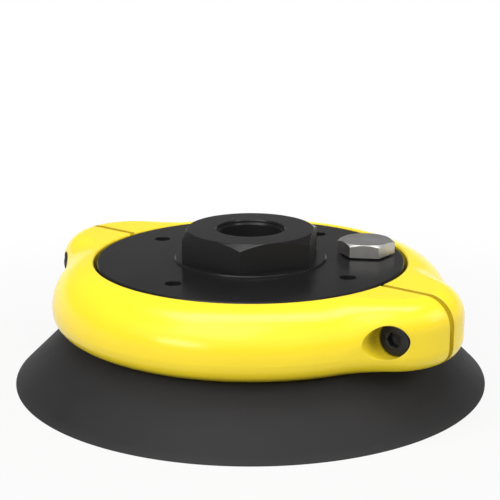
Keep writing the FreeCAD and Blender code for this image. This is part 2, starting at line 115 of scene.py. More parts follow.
def soften(corners: Sequence[Row], steps: int = 6) -> Array:
    """Round the corners of a profile.

    A corner P with setback s becomes the parabola (1-t)^2 A + 2t(1-t) P + t^2 B, where A and B lie
    s before and after P on the profile's straight lines. The setback is at most half a line's
    length.

    Args:
        corners: Radius, height and setback of each corner, in order.
        steps: Points on each rounded corner.

    Returns:
        Radius and height of each point of the profile.
    """
    table = np.array(corners, float)
    corner, setback = table[:, :2], table[:, 2:]

    def towards(other: Array) -> Array:
        """Points a setback away from each corner on the line to another one.

        Args:
            other: The corner that each line leads to.

        Returns:
            Points, corners by one by two.
        """
        run = other - corner
        length = np.maximum(np.linalg.norm(run, axis=1, keepdims=True), NO_LENGTH)
        return (corner + run / length * np.minimum(setback, length / 2))[:, None]

    start = towards(np.vstack([corner[:1], corner[:-1]]))
    end = towards(np.vstack([corner[1:], corner[-1:]]))
    t = np.linspace(0, 1, steps)[None, :, None]
    curve = (1 - t) ** 2 * start + 2 * t * (1 - t) * corner[:, None] + t**2 * end
    return distinct(curve.reshape(-1, 2))


def around_axis(radius: Array, turns: Array, height: Array) -> Array:
    """Points (r cos a, r sin a, z) at a radius r, a turn a and a height z."""
    x, y = radius * np.cos(turns), radius * np.sin(turns)
    return np.stack(np.broadcast_arrays(x, y, height), axis=-1)


def revolve(profile: Array, turns: Array) -> Array:
    """Carry a profile round the Z axis: each row keeps its radius and height at every turn.

    Args:
        profile: Radius and height of each row.
        turns: Turn of each column, the same for all rows or one line for each row.

    Returns:
        Grid of points, rows by columns by three.
    """
    return around_axis(profile[:, :1], turns, profile[:, 1:])


def sleeve(radius: Array, heights: Array, turns: Array) -> Array:
    """Wall round the Z axis whose radius differs from point to point.

    Args:
        radius: Radius of each point, rows by columns.
        heights: Height of each row.
        turns: Turn of each column.

    Returns:
        Grid of points, rows by columns by three.
    """
    return around_axis(radius, turns, heights[:, None])


def hexagon_outline(flats: float, corner_round: float, per_side: int = 40,
                    per_corner: int = 10) -> Array:
    """Outline of a hexagon with rounded corners, the first corner on the X axis.

    Each side starts with the arc round its corner, centred where the hexagon of the smaller half
    width (flats / 2 - rounding) has its corner. The rest of the side runs straight to the next arc.

    Args:
        flats: Width across the flats.
        corner_round: Radius of the corners.
        per_side: Points for each corner and side together.
        per_corner: Points on each corner.

    Returns:
        X and Y of each point, counter-clockwise.
    """
    corner_turn = np.arange(6)[:, None] * HEX_STEP
    centre = (flats / 2 - corner_round) / math.cos(HEX_STEP / 2)
    swing = corner_turn + np.linspace(-HEX_STEP / 2, HEX_STEP / 2, per_corner + 1)
    arc = np.stack([centre * np.cos(corner_turn) + corner_round * np.cos(swing),
                    centre * np.sin(corner_turn) + corner_round * np.sin(swing)], axis=-1)
    share = np.linspace(0, 1, per_side - per_corner + 1)[1:-1, None]
    straight = arc[:, -1:] * (1 - share) + np.roll(arc, -1, axis=0)[:, :1] * share
    return np.concatenate([arc, straight], axis=1).reshape(-1, 2)


def thread_depth(pitch: float, turns: Array, heights: Array) -> Array:
    """Share of a right-handed thread's depth at each point: 0 at the ridge and 1 in the groove.

    The phase is height / pitch less turn / full circle. Folded about the middle of a ridge it runs
    from 0 to 1, and the flank falls in a straight line between the flats at ridge and groove.

    Args:
        pitch: Rise of one turn.
        turns: Turn of each column.
        heights: Height of each row.

    Returns:
        Depth shares, rows by columns.
    """
    phase = heights[:, None] / pitch - turns[None, :] / FULL_TURN
    fold = np.abs(phase % 1.0 - 0.5) * 2
    return np.clip((fold - THREAD_FLAT) / (1 - 2 * THREAD_FLAT), 0, 1)


@dataclass
class Shell:
    """Grids that are joined along their borders into one closed mesh."""

    points: list[Array] = field(default_factory=list)
    quads: list[Array] = field(default_factory=list)
    count: int = 0

    def add(self, grid: Array, wrap: bool = True) -> None:
        """Add a grid whose faces look along column direction times row direction.

        Args:
            grid: Points, rows by columns by three.
            wrap: Whether the last column joins the first.
        """
        rows, columns = grid.shape[:2]
        index = np.arange(rows * columns).reshape(rows, columns) + self.count
        left = index if wrap else index[:, :-1]
        right = np.roll(index, -1, axis=1) if wrap else index[:, 1:]
        corners = np.stack([left[:-1], right[:-1], right[1:], left[1:]], axis=-1)
        self.points.append(grid.reshape(-1, 3))
        self.quads.append(corners.reshape(-1, 4))
        self.count += rows * columns

    def build(self, name: str, sharp_degrees: float = 30.0) -> bpy.types.Object:
        """Make the mesh object, with doubles merged, faces outwards and flat faces evenly lit.

        Args:
            name: Name of the piece.
            sharp_degrees: Edges that turn by more stay sharp.

        Returns:
            The new object, at the origin.
        """
        points, quads = np.concatenate(self.points) * MM, np.concatenate(self.quads)
        mesh = bpy.data.meshes.new(name)
        mesh.vertices.add(len(points))
        mesh.vertices.foreach_set("co", points.astype(np.float32).ravel())
        mesh.loops.add(quads.size)
        mesh.loops.foreach_set("vertex_index", quads.astype(np.int32).ravel())
        mesh.polygons.add(len(quads))
        mesh.polygons.foreach_set("loop_start", np.arange(0, quads.size, 4, dtype=np.int32))
        mesh.update(calc_edges=True)
        work = bmesh.new()
        work.from_mesh(mesh)
        bmesh.ops.remove_doubles(work, verts=work.verts, dist=MERGE_DISTANCE)
        bmesh.ops.dissolve_degenerate(work, edges=work.edges, dist=SLIVER_DISTANCE)
        bmesh.ops.recalc_face_normals(work, faces=work.faces)
        work.to_mesh(mesh)
        work.free()
        mesh.shade_smooth()
        mesh.set_sharp_from_angle(angle=math.radians(sharp_degrees))
        piece = bpy.data.objects.new(name, mesh)
        bpy.context.scene.collection.objects.link(piece)
        even = piece.modifiers.new("even_faces", "WEIGHTED_NORMAL")
        even.keep_sharp = True
        return piece


# Finishes


class NodeSheet:
    """Node tree of a material or of the world, with short ways to add to it."""

    def __init__(self, tree: bpy.types.NodeTree) -> None:
        """Keep the tree's nodes and links at hand."""
        self.nodes, self.links = tree.nodes, tree.links

    def add(self, kind: str, inputs: Inputs, **settings: str | int) -> bpy.types.Node:
        """Add a node.

        Args:
            kind: Blender's name of the node type, without its ShaderNode prefix.
            inputs: Values or other nodes' outputs for its sockets, by name or number.
            **settings: Properties of the node.

        Returns:
            The new node.
        """
        made = self.nodes.new("ShaderNode" + kind)
        for key, value in settings.items():
            setattr(made, key, value)
        for key, value in inputs.items():
            self.put(made.inputs[key], value)
        return made

    def put(self, socket: Socket, value: Value) -> None:
        """Link a socket to another node's output, or set its value.

        Args:
            socket: The input that is fed.
            value: Another node's output, a number or a colour.
        """
        if isinstance(value, Socket):
            self.links.new(value, socket)
        else:
            socket.default_value = value

    def node(self, kind: str, inputs: Inputs, out: str | int = 0, **settings: str | int) -> Socket:
        """Add a node and give the output that is wanted."""
        return self.add(kind, inputs, **settings).outputs[out]

    def math(self, operation: str, *values: Value) -> Socket:
        """Result of a Math node on its values, in order."""
        return self.node("Math", dict(enumerate(values)), operation=operation)

    def spread(self, value: Socket, result: Span = (0.0, 1.0), over: Span = (0.3, 0.7),
               easing: Easing = Easing.STRAIGHT) -> Socket:
        """Carry a value from one range to another, held at the ends.

        Args:
            value: The value.
            result: Result before and after the change.
            over: Values between which the result changes.
            easing: How the change runs.

        Returns:
            The result's socket.
        """
        inputs = {"Value": value, "From Min": over[0], "From Max": over[1],
                  "To Min": result[0], "To Max": result[1]}
        return self.node("MapRange", inputs, interpolation_type=easing.value)

    def seen(self) -> Socket:
        """Share that is 1 to the camera, in mirrors and through glass, and 0 for other light.

        Returns:
            The share's socket.
        """
        camera, mirror, glass = (self.node("LightPath", {}, f"Is {ray} Ray")
                                 for ray in ("Camera", "Glossy", "Transmission"))
        return self.math("MAXIMUM", self.math("MAXIMUM", camera, mirror), glass)


class Graph(NodeSheet):
    """Nodes of one material, with its shader at hand."""

    # Rise of faces that pass from upright to level.
    slant: Span = (0.3, 0.6)
    # How far the rounded normal parts from the face's own where an edge begins and is full.
    edge_parting: Span = (0.02, 0.25)
    edge_samples: int = 6
    sky_samples: int = 8

    def __init__(self, name: str) -> None:
        """Start a node material that holds one principled shader.

        Args:
            name: Name of the material.
        """
        self.material = bpy.data.materials.new(name)
        self.material.use_nodes = True
        super().__init__(self.material.node_tree)
        self.shader = self.nodes["Principled BSDF"]

    def set(self, **sockets: Value) -> None:
        """Set the shader's sockets, with underscores for the spaces in their names."""
        for key, value in sockets.items():
            self.put(self.shader.inputs[key.replace("_", " ")], value)

    def place(self, centre: Place = (0.0, 0.0, 0.0)) -> Socket:
        """Object coordinates, moved so that a pattern is laid out round a centre.

        Args:
            centre: The centre, in metres.

        Returns:
            The coordinates' socket.
        """
        point = self.node("TexCoord", {}, "Object")
        if not any(centre):
            return point
        return self.node("Mapping", {"Vector": point, "Location": centre}, vector_type="TEXTURE")

    def noise(self, point: Socket, scale: float, detail: float = 3.0,
              roughness: float = 0.5) -> Socket:
        """Noise value round one half, with a scale in features to the metre."""
        inputs = {"Vector": point, "Scale": scale, "Detail": detail, "Roughness": roughness}
        return self.node("TexNoise", inputs)

    def blend(self, share: Value, first: Value, second: Value) -> Socket:
        """Mix two colours by the share of the second."""
        return self.node("MixRGB", {"Fac": share, "Color1": first, "Color2": second})

    def mottle(self, noise: Socket, colour: Colour, shades: Span) -> Socket:
        """Colour that goes from a darker to a lighter shade with a noise."""
        return self.blend(self.spread(noise), shade(colour, shades[0]), shade(colour, shades[1]))

    def radius(self, point: Socket) -> Socket:
        """Distance of a point from the Z axis."""
        flat = self.node("VectorMath", {0: point, 1: (1.0, 1.0, 0.0)}, operation="MULTIPLY")
        return self.node("VectorMath", {0: flat}, "Value", operation="LENGTH")

    def rings(self, point: Socket, per_metre: float) -> Socket:
        """Irregular rings round the Z axis, as a tool leaves them on faces that aren't upright.

        The value is one half, plus the swing of a noise along the radius where a face isn't
        upright.

        Args:
            point: Coordinates round the axis.
            per_metre: Rings to the metre.

        Returns:
            The value's socket.
        """
        reach = self.math("MULTIPLY", self.radius(point), per_metre)
        inputs = {"W": reach, "Scale": 1.0, "Detail": 2.0}
        lines = self.node("TexNoise", inputs, noise_dimensions="1D")
        swing = self.math("SUBTRACT", lines, 0.5)
        return self.math("MULTIPLY_ADD", swing, self.level_faces(), 0.5)

    def rise(self) -> Socket:
        """How far a face looks up: 1 straight up, 0 level and -1 straight down."""
        return self.node("SeparateXYZ", {0: self.node("NewGeometry", {}, "Normal")}, "Z")

    def level_faces(self) -> Socket:
        """Share that is 1 on level faces and on slanting ones, and 0 on upright ones."""
        return self.spread(self.math("ABSOLUTE", self.rise()), over=self.slant)

    def bump(self, height: Socket, distance: float, normal: Socket | None = None) -> Socket:
        """Normal of a surface raised by a height times a distance.

        Args:
            height: The height, about 0 to 1.
            distance: Rise at height 1, in metres.
            normal: Normal that it starts from, if not the face's own.

        Returns:
            The normal's socket.
        """
        start = {} if normal is None else {"Normal": normal}
        return self.node("Bump", {"Height": height, "Distance": distance, **start})

    def eased(self, width: float) -> Socket:
        """Normal with the edges rounded over a width in metres."""
        return self.node("Bevel", {"Radius": width}, samples=self.edge_samples)

    def hollows(self, reach: float, result: Span, over: Span) -> Socket:
        """Value that changes in gaps and bores, where other faces stand near.

        Args:
            reach: How far faces are looked for, in metres.
            result: Value deep in a hollow and on open faces.
            over: Open shares of the sky between which the value changes.

        Returns:
            The value's socket.
        """
        sky = self.node("AmbientOcclusion", {"Distance": reach}, "AO", samples=self.sky_samples)
        return self.spread(sky, result, over)

    def edges(self, width: float) -> Socket:
        """Share that is 1 along edges and 0 on open faces.

        The rounded normal and the face's own normal agree on an open face, and part near an edge.

        Args:
            width: Width of the edges, in metres.

        Returns:
            The share's socket.
        """
        normals = {0: self.eased(width), 1: self.node("NewGeometry", {}, "Normal")}
        agree = self.node("VectorMath", normals, "Value", operation="DOT_PRODUCT")
        return self.spread(self.math("SUBTRACT", 1.0, agree), over=self.edge_parting)


class Finish(Protocol):
    """A finish, which makes its own material."""

    def material(self) -> bpy.types.Material:
        """Build the material."""


def shade(colour: Colour, factor: float = 1.0) -> tuple[float, float, float, float]:
    """Colour times a factor, with full alpha."""
    return (*(min(1.0, part * factor) for part in colour), 1.0)


@dataclass(frozen=True)
class MouldedPlastic:
    """Glossy moulded plastic with a faint orange-peel skin, painted highlights along its edges and
    painted shade in its bores.
    """

    name: str = "yellow_moulded_plastic"
    colour: Colour = (0.94, 0.715, 0.027)
    cloud_scale: float = 45.0
    cloud_shades: Span = (0.975, 1.02)
    skin_scale: float = 900.0
    skin_height: float = 0.0016 * MM
    grain_scale: float = 5200.0
    grain_height: float = 0.0003 * MM
    gloss: Span = (0.21, 0.26)
    specular: float = 0.34
    ior: float = 1.5
    edge_width: float = 0.35 * MM
    # Lighter edge colour and its share: a painted highlight along the plastic's edges.
    wear_and_highlight_colour: Colour = (1.0, 0.86, 0.25)
    wear_and_highlight_share: float = 0.45
    hollow_reach: float = 5.0 * MM
    # Painted shade: the darker tone, and how much of it falls in bores, in slots and on faces that
    # look up.
    painted_shade_tone: float = 0.25
    bore_painted_shade: float = 0.90
    bore_sky: Span = (0.76, 0.95)
    slot_painted_shade: float = 0.15
    slot_sky: Span = (0.40, 0.65)
    upward_painted_shade: float = 0.25
    painted_shade_rise: Span = (-0.1, 0.7)

    def painted_shade_share(self, graph: Graph) -> Socket:
        """Share of the painted shade: high in bores, less in narrow slots and on faces that look up.

        Args:
            graph: Nodes of the material.

        Returns:
            The share's socket.
        """
        bores = graph.hollows(self.hollow_reach, (self.bore_painted_shade, 0.0), self.bore_sky)
        wide = graph.hollows(self.hollow_reach, (self.slot_painted_shade, 1.0), self.slot_sky)
        turned_away = graph.spread(graph.rise(), (1.0, self.upward_painted_shade), self.painted_shade_rise)
        return graph.math("MULTIPLY", graph.math("MULTIPLY", bores, wide), turned_away)

    def material(self) -> bpy.types.Material:
        """Build the material.

        Returns:
            The material.
        """
        graph = Graph(self.name)
        point = graph.place()
        skin = graph.noise(point, self.skin_scale, detail=2.0)
        grain = graph.noise(point, self.grain_scale, detail=4.0)
        base = graph.mottle(graph.noise(point, self.cloud_scale), self.colour, self.cloud_shades)
        # Edges are painted lighter: a painted highlight.
        wear_and_highlight = graph.math("MULTIPLY", graph.edges(self.edge_width), self.wear_and_highlight_share)
        base = graph.blend(wear_and_highlight, base, shade(self.wear_and_highlight_colour))
        # Bores and faces that look down are painted darker: painted shade.
        base = graph.blend(self.painted_shade_share(graph), base, shade(self.colour, self.painted_shade_tone))
        normal = graph.bump(skin, self.skin_height, graph.eased(self.edge_width))
        normal = graph.bump(grain, self.grain_height, normal)
        graph.set(Base_Color=base, Normal=normal, Roughness=graph.spread(skin, self.gloss))
        graph.set(Specular_IOR_Level=self.specular, IOR=self.ior)
        return graph.material


@dataclass(frozen=True)
class MouldedRubber:
    """Matt black rubber with a fine grain, mould rings and, where it has a lip, a scuffed lip."""

    name: str
    colour: Colour = (0.0185, 0.0177, 0.0183)
    centre: Place = (0.0, 0.0, 0.0)
    lip_radius: float = 0.0
    cloud_scale: float = 60.0
    cloud_shades: Span = (0.88, 1.12)
    grain_scale: float = 3600.0
    grain_height: float = 0.010 * MM
    rings_per_metre: float = 2600.0
    ring_height: float = 0.004 * MM
    dust_scale: float = 1500.0
    dust_share: float = 0.10
    dust_noise: Span = (0.62, 0.80)
    dust_colour: Colour = (0.11, 0.105, 0.10)
    scuff_width: float = 1.6 * MM
    scuff_share: float = 0.12
    scuff_colour: Colour = (0.10, 0.098, 0.095)
    gloss: Span = (0.56, 0.70)
    specular: float = 0.22
    ior: float = 1.5

    def material(self) -> bpy.types.Material:
        """Build the material.

        Returns:
            The material.
        """
        graph = Graph(self.name)
        point = graph.place(self.centre)
        clouds = graph.noise(point, self.cloud_scale, detail=5.0, roughness=0.6)
        grain = graph.noise(point, self.grain_scale)
        specks = graph.noise(point, self.dust_scale, detail=6.0, roughness=0.75)
        base = graph.mottle(clouds, self.colour, self.cloud_shades)
        dust = graph.spread(specks, (0.0, self.dust_share), self.dust_noise)
        base = graph.blend(dust, base, shade(self.dust_colour))
        if self.lip_radius:
            lip = (self.lip_radius - self.scuff_width, self.lip_radius)
            near_lip = graph.spread(graph.radius(point), over=lip)
            scuff = graph.math("MULTIPLY", near_lip, graph.spread(grain, (0.0, self.scuff_share)))
            base = graph.blend(scuff, base, shade(self.scuff_colour))
        normal = graph.bump(graph.rings(point, self.rings_per_metre), self.ring_height)
        normal = graph.bump(grain, self.grain_height, normal)
        graph.set(Base_Color=base, Normal=normal, Roughness=graph.spread(clouds, self.gloss))
        graph.set(Specular_IOR_Level=self.specular, IOR=self.ior)
        return graph.material


@dataclass(frozen=True)
class BlackAnodised:
    """Turned aluminium under a satin black skin, with rougher flats painted lighter as painted
    light, and slightly worn edges.
    """

    name: str = "black_anodised_aluminium"
    colour: Colour = (0.0090, 0.0086, 0.0088)
    cloud_scale: float = 80.0
    cloud_shades: Span = (0.9, 1.12)
    rings_per_metre: float = 5200.0
    ring_height: float = 0.0006 * MM
    grain_scale: float = 7000.0
    grain_height: float = 0.0002 * MM
    edge_width: float = 0.30 * MM
    wear_scale: float = 420.0
    wear_share: float = 0.12
    wear_colour: Colour = (0.10, 0.10, 0.105)
    hollow_reach: float = 3.0 * MM
    flats_sky: Span = (0.30, 0.75)
    # Factor by which open upright flats are painted lighter: painted light.
    flats_painted_light: float = 1.7
    flats_rough: float = 0.25
    gloss: Span = (0.20, 0.25)
    specular: float = 0.20

    def material(self) -> bpy.types.Material:
        """Build the material.

        Returns:
            The material.
        """
        graph = Graph(self.name)
        point = graph.place()
        clouds = graph.noise(point, self.cloud_scale, detail=4.0)
        grain = graph.noise(point, self.grain_scale, detail=2.0)
        patches = graph.noise(point, self.wear_scale, detail=5.0)
        base = graph.mottle(clouds, self.colour, self.cloud_shades)
        wear = graph.spread(patches, (0.0, self.wear_share))
        worn = graph.math("MULTIPLY", graph.edges(self.edge_width), wear)
        base = graph.blend(worn, base, shade(self.wear_colour))
        upright = graph.math("SUBTRACT", 1.0, graph.level_faces())
        open_faces = graph.hollows(self.hollow_reach, (0.0, 1.0), self.flats_sky)
        flats = graph.math("MULTIPLY", upright, open_faces)
        # Open upright flats are painted lighter: painted light.
        base = graph.blend(flats, base, shade(self.colour, self.flats_painted_light))
        satin = graph.spread(clouds, self.gloss)
        satin = graph.math("MULTIPLY_ADD", flats, self.flats_rough, satin)
        normal = graph.bump(graph.rings(point, self.rings_per_metre), self.ring_height)
        normal = graph.bump(grain, self.grain_height, normal)
        graph.set(Base_Color=base, Normal=normal, Roughness=satin, Specular_IOR_Level=self.specular)
        return graph.material


@dataclass(frozen=True)
class TurnedMetal:
    """Bare turned metal with tool rings round its axis, painted highlights along its edges, and a
    top that may be rougher and painted darker as painted shade.
    """

    name: str
    colour: Colour
    # Brighter colour along the edges: a painted highlight.
    edge_highlight_colour: Colour
    centre: Place = (0.0, 0.0, 0.0)
    gloss: Span = (0.30, 0.40)
    top_rough: float = 0.0
    # Share of its colour that the top keeps: painted shade on the top.
    top_painted_shade: float = 1.0
    top_rise: Span = (0.90, 0.98)
    cloud_scale: float = 260.0
    cloud_shades: Span = (0.9, 1.08)
    rings_per_metre: float = 9000.0
    ring_height: float = 0.0005 * MM
    grain_scale: float = 9000.0
    grain_height: float = 0.0002 * MM
    edge_width: float = 0.18 * MM

    def material(self) -> bpy.types.Material:
        """Build the material.

        Returns:
            The material.
        """
        graph = Graph(self.name)
        point = graph.place(self.centre)
        rings = graph.rings(point, self.rings_per_metre)
        clouds = graph.noise(point, self.cloud_scale, detail=4.0)
        grain = graph.noise(point, self.grain_scale, detail=2.0)
        base = graph.mottle(clouds, self.colour, self.cloud_shades)
        # The top is painted darker: painted shade.
        top_shading = graph.spread(graph.rise(), (0.0, 1.0 - self.top_painted_shade), self.top_rise)
        base = graph.blend(top_shading, base, shade(self.colour, 0.0))
        # Edges are painted brighter: a painted highlight.
        base = graph.blend(graph.edges(self.edge_width), base, shade(self.edge_highlight_colour))
        normal = graph.bump(rings, self.ring_height)
        normal = graph.bump(grain, self.grain_height, normal)
        rough = graph.spread(graph.rise(), (0.0, self.top_rough), self.top_rise)
        rough = graph.math("ADD", graph.spread(rings, self.gloss), rough)
        graph.set(Base_Color=base, Normal=normal, Metallic=1.0, Roughness=rough)
        return graph.material


@dataclass(frozen=True)
class BlackOxide:
    """Steel with a thin black oxide skin, rubbed along its edges and dusty in its hollows."""

    name: str = "black_oxide_steel"
    colour: Colour = (0.010, 0.010, 0.0105)
    cloud_scale: float = 500.0
    cloud_shades: Span = (0.8, 1.25)
    grain_scale: float = 9000.0
    grain_height: float = 0.0005 * MM
    edge_width: float = 0.15 * MM
    wear_and_highlight_share: float = 0.4
    wear_and_highlight_colour: Colour = (0.09, 0.088, 0.085)
    hollow_reach: float = 2.0 * MM
    dust_share: float = 0.6
    dust_sky: Span = (0.2, 0.8)
    dust_colour: Colour = (0.045, 0.044, 0.043)
    gloss: Span = (0.34, 0.46)
    specular: float = 0.32
    ior: float = 1.5

    def material(self) -> bpy.types.Material:
        """Build the material.

        Returns:
            The material.
        """
        graph = Graph(self.name)
        point = graph.place()
        clouds = graph.noise(point, self.cloud_scale, detail=5.0, roughness=0.6)
        grain = graph.noise(point, self.grain_scale, detail=2.0)
        base = graph.mottle(clouds, self.colour, self.cloud_shades)
        # Lighter colour along the screws' edges: wear.
        wear_and_highlight = graph.spread(clouds, (0.0, self.wear_and_highlight_share))
        wear_and_highlight = graph.math("MULTIPLY", graph.edges(self.edge_width), wear_and_highlight)
        base = graph.blend(wear_and_highlight, base, shade(self.wear_and_highlight_colour))
        dust = graph.hollows(self.hollow_reach, (self.dust_share, 0.0), self.dust_sky)
        base = graph.blend(dust, base, shade(self.dust_colour))
        graph.set(Base_Color=base, Normal=graph.bump(grain, self.grain_height))
        graph.set(Roughness=graph.spread(clouds, self.gloss))
        graph.set(Specular_IOR_Level=self.specular, IOR=self.ior)
        return graph.material


# Sub-assemblies


def present(piece: bpy.types.Object, finish: Finish, node: str) -> None:
    """Dress a new piece, let it ride on the body and stand for a CAD node.

    Args:
        piece: The new piece.
        finish: Finish whose material it gets.
        node: CAD node that it stands for.
    """
    piece.data.materials.append(finish.material())
    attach(piece, BODY)
    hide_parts(node)
    LOG.info("%s stands for %s: %d vertices", piece.name, node, len(piece.data.vertices))


@dataclass
class RubberCup:
    """Cup of one rubber moulding: lip, skirt, web, neck and bead, with ribs under the web."""

    lip_radius: float = 56.5
    lip_edge: float = 0.15
    lip_land: float = 1.2
    lip_foot_round: float = 0.05
    lip_edge_round: float = 0.06
    skirt_top: float = 43.3
    shoulder: float = 13.15
    shoulder_round: float = 0.55
    web_underside: float = 11.15
    root_radius: float = 41.476
    neck_radius: float = 38.3
    neck_round: float = 0.4
    groove_floor: float = 16.05
    bead_radius: float = 41.5
    bead_top: float = 20.55
    bead_round: float = 0.3
    opening_radius: float = 33.5
    rib_count: int = 12
    rib_start: float = 34.5
    rib_bottom: float = 6.15
    rib_thickness: float = 2.4
    rib_draft: float = 0.12
    rib_columns: int = 5
    gap_columns: int = 15
    web_rows: int = 8
    rib_rows: int = 8
    skirt_rows: int = 9

    def turns(self, radius: Array) -> Array:
        """Turn of each column at each radius.

        Five columns keep their distance d from a rib's middle plane, at the turn asin(d / r): both
        feet, both edges and the middle. The columns between two ribs divide the rest of the circle
        evenly.

        Args:
            radius: Radius of each row.

        Returns:
            Turns, rows by columns.
        """
        half, draft = self.rib_thickness / 2, self.rib_draft
        near = np.array([-half - draft, -half + draft, 0, half - draft, half + draft])
        rib = np.arcsin(near / radius[:, None])
        pitch = FULL_TURN / self.rib_count
        share = np.arange(1, self.gap_columns + 1) / (self.gap_columns + 1)
        gap = rib[:, -1:] + share * (pitch - 2 * rib[:, -1:])
        sector = np.concatenate([rib, gap], axis=1)
        return np.concatenate([sector + number * pitch for number in range(self.rib_count)], axis=1)

    def outside(self) -> Array:
        """Profile from the lip's foot up over the skirt, neck and bead and down the opening.

        Returns:
            Radius and height of each point.
        """
        return soften([
            (self.lip_radius - self.lip_land, 0, 0),
            (self.lip_radius, 0, self.lip_foot_round),
            (self.lip_radius, self.lip_edge, self.lip_edge_round),
            (self.skirt_top, self.shoulder, self.shoulder_round),
            (self.neck_radius, self.shoulder, self.neck_round),
            (self.neck_radius, self.groove_floor, self.neck_round),
            (self.bead_radius, self.groove_floor, self.bead_round),
            (self.bead_radius, self.bead_top, self.bead_round),
            (self.opening_radius, self.bead_top, self.bead_round),
            (self.opening_radius, self.web_underside, 0),
        ])

    def underside(self) -> Array:
        """Grid of the inside of the cup, from the opening out to the lip.

        The height is the web's, then falls in a straight line down the skirt. On a rib's columns it
        is the lower of that and the rib's bottom, so a rib runs out into the skirt.

        Returns:
            Grid of points, rows by columns by three.
        """
        lip = self.lip_radius - self.lip_land
        fall = self.web_underside / (lip - self.root_radius)
        rib_foot = self.root_radius + (self.web_underside - self.rib_bottom) / fall
        rib_face = self.rib_start + self.rib_draft
        radius = np.concatenate([
            [self.opening_radius, self.rib_start - self.rib_draft, rib_face],
            np.linspace(rib_face, self.root_radius, self.web_rows)[1:],
            np.linspace(self.root_radius, rib_foot, self.rib_rows)[1:],
            np.linspace(rib_foot, lip, self.skirt_rows)[1:],
        ])
        turns = self.turns(radius)
        plain = self.web_underside - fall * (radius - self.root_radius)
        plain = np.clip(plain, 0, self.web_underside)[:, None]
        column = np.arange(turns.shape[1]) % (self.rib_columns + self.gap_columns)
        between_feet = (column > 0) & (column < self.rib_columns - 1)
        on_rib = between_feet[None, :] & (radius >= self.rib_start)[:, None]
        height = np.where(on_rib, np.minimum(plain, self.rib_bottom), plain)
        return around_axis(radius[:, None], turns, height)

    def build(self) -> None:
        """Build and dress the cup."""
        shell = Shell()
        outside = self.outside()
        shell.add(revolve(outside, self.turns(outside[:, 0])))
        shell.add(self.underside())
        finish = MouldedRubber("black_cup_rubber", lip_radius=self.lip_radius * MM)
        present(shell.build("rubber_cup"), finish, "suction_cup")


@dataclass
class HexHead:
    """Hexagon with rounded corners and a crown turned on its top."""

    flats: float
    foot: float
    top: float
    crown_radius: float
    corner_round: float
    edge_round: float
    crown_slope: float = math.radians(30)
    shoulder_rows: int = 5
    rim_rows: int = 4

    def outline(self) -> Array:
        """X and Y of the hexagon's outline."""
        return hexagon_outline(self.flats, self.corner_round)

    def turns(self) -> Array:
        """Turn of each point of the outline."""
        outline = self.outline()
        return np.arctan2(outline[:, 1], outline[:, 0])

    def grid(self) -> Array:
        """Side, crown and rim of the top face.

        In each column the section is bounded by the side, by the crown's cone and by the top. Each
        bound is moved in by the rounding e, and the surface is the arc of radius e round the
        corners that are left, first from level to the cone's normal and then to straight up.

        Returns:
            Grid of points, rows by columns by three.
        """
        outline = self.outline()
        slope, e = self.crown_slope, self.edge_round
        side = np.hypot(outline[:, 0], outline[:, 1]) - e
        cone = self.top - (side - self.crown_radius) * math.tan(slope) - e / math.cos(slope)
        shoulder = np.minimum(self.top - e, cone)
        rim = np.minimum(side, self.crown_radius - e * math.tan(slope / 2))
        lower = np.linspace(0, math.pi / 2 - slope, self.shoulder_rows)[:, None]
        upper = np.linspace(math.pi / 2 - slope, math.pi / 2, self.rim_rows)[:, None]
        radius = np.concatenate([side[None] + e, side + e * np.cos(lower), rim + e * np.cos(upper)])
        height = np.concatenate([np.full_like(side, self.foot)[None], shoulder + e * np.sin(lower),
                                 self.top - e + e * np.sin(upper) + 0 * rim])
        return around_axis(radius, self.turns(), height)


@dataclass
class HoleMark:
    """A round hole in the plate's top, inside a sector of the plate."""

    turn: float
    half_sector: float
    section: Array
    thread: Span | None = None


